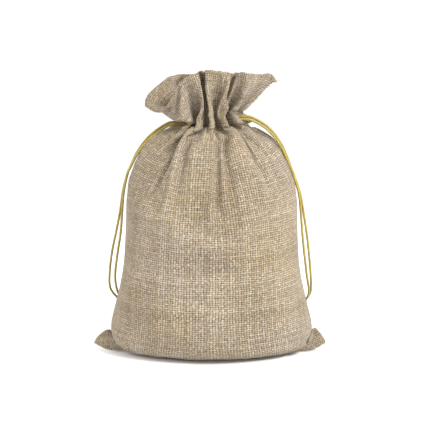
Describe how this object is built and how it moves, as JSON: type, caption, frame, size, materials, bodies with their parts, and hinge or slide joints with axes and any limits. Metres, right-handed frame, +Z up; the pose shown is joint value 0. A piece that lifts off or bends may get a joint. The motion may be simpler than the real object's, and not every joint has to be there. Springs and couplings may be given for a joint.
{
  "type": "drawstring gift pouch",
  "caption": "Woven cloth gift pouch, filled and standing, drawn closed at the neck under a flared ruffle by knotted drawcords at both sides.",
  "frame": {"origin": "on the floor under the middle of the pouch's base", "axes": "+Z up through the neck, -Y out of the front panel, +X to the right seen from the front"},
  "size_m": [0.191, 0.098, 0.2327],
  "materials": {
    "cloth": "matte plain weave",
    "thread": "matte",
    "cord": "satin"
  },
  "bodies": {
    "bag": {"front_panel": "cloth", "back_panel": "cloth", "left_side_seam": "cloth", "right_side_seam": "cloth", "bottom_seam": "cloth", "left_cord_front_lead": "cord", "left_cord_back_lead": "cord", "right_cord_front_lead": "cord", "right_cord_back_lead": "cord"},
    "front_mouth": {"front_channel": "cloth", "front_ruffle": "cloth", "front_facing": "cloth", "front_lower_stitching": "thread", "front_upper_stitching": "thread", "left_cord_front_run": "cord", "right_cord_front_run": "cord"},
    "back_mouth": {"back_channel": "cloth", "back_ruffle": "cloth", "back_facing": "cloth", "back_lower_stitching": "thread", "back_upper_stitching": "thread", "left_cord_back_run": "cord", "right_cord_back_run": "cord"},
    "left_tail": {"left_cord_front_tail": "cord", "left_cord_back_tail": "cord", "left_knot": "cord", "left_cord_ends": "cord"},
    "right_tail": {"right_cord_front_tail": "cord", "right_cord_back_tail": "cord", "right_knot": "cord", "right_cord_ends": "cord"}
  },
  "joints": [
    {"name": "mouth_front", "type": "slide", "parent": "bag", "child": "front_mouth", "axis": [0, -1, 0], "range_m": [0, 0.012]},
    {"name": "mouth_back", "type": "slide", "parent": "bag", "child": "back_mouth", "axis": [0, 1, 0], "range_m": [0, 0.012]},
    {"name": "left_tail_swing", "type": "hinge", "parent": "bag", "child": "left_tail", "pos_m": [-0.067, 0, 0.1512], "axis": [0, 1, 0], "range_deg": [0, 80]},
    {"name": "right_tail_swing", "type": "hinge", "parent": "bag", "child": "right_tail", "pos_m": [0.065, -0.004, 0.151], "axis": [0, -1, 0], "range_deg": [0, 80]}
  ],
  "couplings": [
    {"joint": "mouth_back", "follows": "mouth_front", "ratio": 1}
  ]
}
